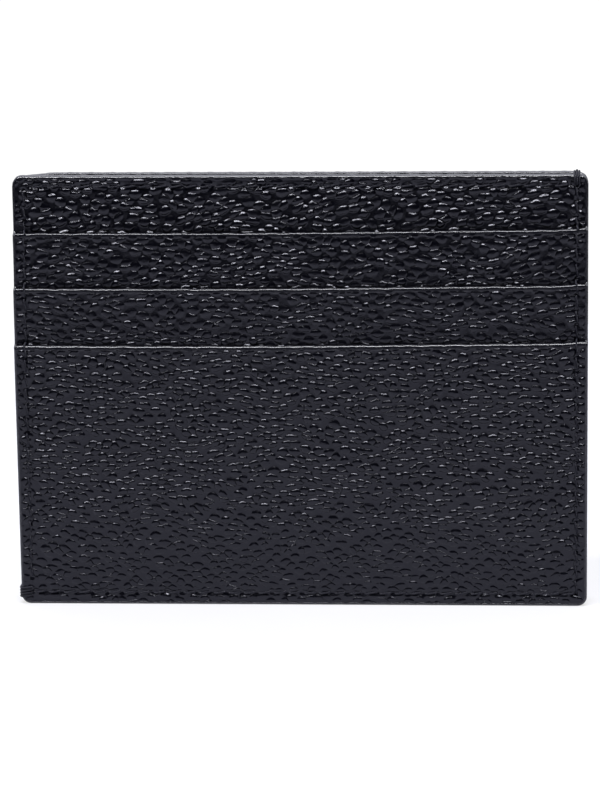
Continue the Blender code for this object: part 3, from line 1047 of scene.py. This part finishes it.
def turns_round_left(hole):
    """The main seam's start: four turns round the left edge, below the left seam."""
    x, z = hole
    outside = -HALF_WIDTH - 0.16 * MM
    proud = 0.2 * MM
    front = POCKET_Y - proud
    behind = BACK_FACE_Y + proud
    route = []
    for turn in range(4):
        level = z - 0.95 * MM + 0.52 * MM * turn
        ends = level + 0.12 * MM
        route += [
            (x + 0.05 * MM, behind - 0.3 * MM, level),
            (x - 0.5 * MM, behind, level),
            (outside + 0.35 * MM, behind, level),
            (outside, behind - 0.4 * MM, level),
            (outside, front + 0.4 * MM, ends),
            (outside + 0.35 * MM, front, ends),
            (x - 0.5 * MM, front, ends + 0.1 * MM),
            (x + 0.05 * MM, front + 0.3 * MM, ends + 0.15 * MM),
        ]
    return route


def turns_over_top(hole):
    """The main seam's end: three turns over both top edges, the middle one riding on the others."""
    x, z = hole
    front = wall_surface(x, z) - 0.16 * MM
    behind = back_surface(x, z) + 0.16 * MM
    route = []
    for turn, climb in ((-1, 0.0), (1, 0.0), (0, 0.15 * MM)):
        place = x + 0.4 * MM * turn
        above = BACK_HEIGHT + 0.02 * MM + climb
        route += [
            (place, front + 0.25 * MM, z + 0.1 * MM),
            (place, front - climb * 0.5, z + 0.5 * MM),
            (place, front + 0.05 * MM, FRONT_HEIGHT - 0.4 * MM),
            (place, front + 0.5 * MM, FRONT_HEIGHT + 0.02 * MM + climb),
            (place, front + 1.0 * MM, FRONT_HEIGHT + 0.1 * MM + climb),
            (place, behind - 0.9 * MM, above),
            (place, behind - 0.5 * MM, above - 0.03 * MM),
            (place, behind - 0.08 * MM, above - 0.5 * MM),
            (place, behind, z + 0.6 * MM),
            (place, behind - 0.35 * MM, z + 0.1 * MM),
        ]
    return route


def make_threads():
    """Needle and bobbin threads; the bobbins of the two top rows lie thinner, inside the pocket."""
    material = thread_material()
    main = np.concatenate([BOTTOM_SEAM.holes, RIGHT_SEAM.holes[1:]])
    needle = stitch_route(main, front_surface, -1)
    needle = turns_round_left(main[0]) + needle + turns_over_top(main[-1])
    left, front_row, back_row = LEFT_SEAM.holes, FRONT_ROW.holes, BACK_ROW.holes
    for name, node, route in (
        ("main_needle", "main_seam_needle", needle),
        ("main_bobbin", "main_seam_bobbin", stitch_route(main, back_surface, 1)),
        ("left_needle", "left_seam_needle", stitch_route(left, front_surface, -1)),
        ("left_bobbin", "left_seam_bobbin", stitch_route(left, back_surface, 1)),
        ("front_row_needle", "front_wall_seam_needle", stitch_route(front_row, wall_surface, -1)),
        ("back_row_needle", "back_wall_seam_needle", stitch_route(back_row, back_surface, 1)),
    ):
        twisted_thread(name + "_thread", node + "_thread", route, material)
    for name, node, holes, surface, outward in (
        ("front_row_bobbin", "front_wall_seam_bobbin", front_row, front_pocket_face, 1),
        ("back_row_bobbin", "back_wall_seam_bobbin", back_row, rear_pocket_face, -1),
    ):
        route = stitch_route(holes, surface, outward, sunk=0.25 * MM)
        twisted_thread(name + "_thread", node + "_thread", route, material, 0.16 * MM)


# ---------------------------------------- camera, floor and light


def axes_from(back, about=(0, 0, 1), roll=0.0):
    """The right, up and backward directions of a camera or light whose back points that way."""
    right = np.cross(about, back)
    right /= np.linalg.norm(right)
    up = np.cross(back, right)
    turned_right = math.cos(roll) * right + math.sin(roll) * up
    turned_up = -math.sin(roll) * right + math.cos(roll) * up
    return turned_right, turned_up, back


def add_aimed(name, data, place, axes):
    """Put a camera or light in the scene."""
    obj = bpy.data.objects.new(name, data)
    obj.matrix_world = Matrix([*zip(*axes, place), (0, 0, 0, 1)])
    bpy.context.scene.collection.objects.link(obj)
    return obj


def make_camera():
    """In front, a little above and to the right, slightly rolled, with a long lens."""
    azimuth, elevation, roll = np.radians((3.95, 13.0, -0.82))
    distance = 615 * MM
    target = np.array([0.0, POCKET_Y, 37.14 * MM])
    level = math.cos(elevation)
    back = (math.sin(azimuth) * level, -math.cos(azimuth) * level, math.sin(elevation))
    place = target + np.array(back) * distance
    data = bpy.data.cameras.new("camera")
    data.sensor_width = 36.0
    data.lens = 158.8
    data.clip_start = 0.01
    data.clip_end = 20.0
    bpy.context.scene.camera = add_aimed("camera", data, place, axes_from(back, roll=roll))


def make_floor():
    """A long light table with a pale shadow, whose reflection fades towards the front."""
    half_width, front, rear = 0.32, -0.62, 0.24
    half_length, middle = (rear - front) / 2, (rear + front) / 2
    corners, squareness = 96, 0.5
    turn = np.linspace(0, 2 * math.pi, corners, endpoint=False)
    across = np.sign(np.cos(turn)) * np.abs(np.cos(turn)) ** squareness
    along = np.sign(np.sin(turn)) * np.abs(np.sin(turn)) ** squareness
    verts = np.stack([half_width * across, middle + half_length * along, 0 * turn], axis=-1)
    material, tree, shader = new_material("studio_floor")
    position = object_position(tree)
    seen = tree.nodes.new("ShaderNodeLightPath").outputs["Is Camera Ray"]
    fade = ramp_node(tree, split(tree, position)["Y"], -0.6, -0.12, 0.22, 1.0, "LINEAR")
    fade = math_node(tree, "MAXIMUM", fade, seen)
    mottle = noise_node(tree, position, 40.0, 2.0, 0.5, "3D")
    share = math_node(tree, "MULTIPLY", fade, ramp_node(tree, mottle, 0.3, 0.7, 0.97, 1.0))
    set_inputs(tree, shader, {
        "Base Color": mix_colours(tree, share, (0.0, 0.0, 0.0), (0.135, 0.135, 0.156)),
        "Roughness": 0.7,
        "Specular IOR Level": 0.2,
        "Emission Color": mix_colours(tree, seen, (0.84, 0.85, 1.0), (0.655, 0.655, 0.62)),
        "Emission Strength": math_node(tree, "MULTIPLY", fade, 0.95),
    })
    floor = make_object("floor", verts, [tuple(range(corners))], material)


def make_world():
    """White behind and above, dim in front, and plain white to the camera and below the floor."""
    world = bpy.data.worlds.new("studio")
    bpy.context.scene.world = world
    world.use_nodes = True
    tree = world.node_tree
    parts = split(tree, tree.nodes.new("ShaderNodeTexCoord").outputs["Generated"])
    up, rearward = parts["Z"], parts["Y"]
    rear = mix_colours(tree, ramp_node(tree, up, 0.1, 1.0), (0.48, 0.49, 0.55), (3.1, 3.15, 3.5))
    above = mix_colours(tree, ramp_node(tree, rearward, -0.25, 0.35), (0.016, 0.016, 0.02), rear)
    whole = mix_colours(tree, ramp_node(tree, up, -0.2, -0.42), above, (0.95, 0.955, 1.0))
    seen = tree.nodes.new("ShaderNodeLightPath").outputs["Is Camera Ray"]
    shown = mix_colours(tree, seen, whole, (1.05, 1.05, 1.05))
    set_inputs(tree, tree.nodes["Background"], {"Color": shown})


def make_lights():
    """One wide softbox above and a little in front."""
    place, aim = np.array([-0.12, -0.5, 1.4]), np.array([0.0, 0.0, 0.02])
    back = (place - aim) / np.linalg.norm(place - aim)
    data = bpy.data.lights.new("overhead_softbox", "AREA")
    data.shape = "RECTANGLE"
    data.size = 1.9
    data.size_y = 0.19
    data.energy = 74
    data.color = (0.95, 0.955, 1.0)
    add_aimed("overhead_softbox", data, place, axes_from(back, about=(0, 1, 0)))


# ---------------------------------------- the whole


bpy.context.scene.view_settings.view_transform = "Standard"
make_camera()
make_floor()
make_world()
make_lights()
make_leather()
make_linings()
make_paint()
make_threads()
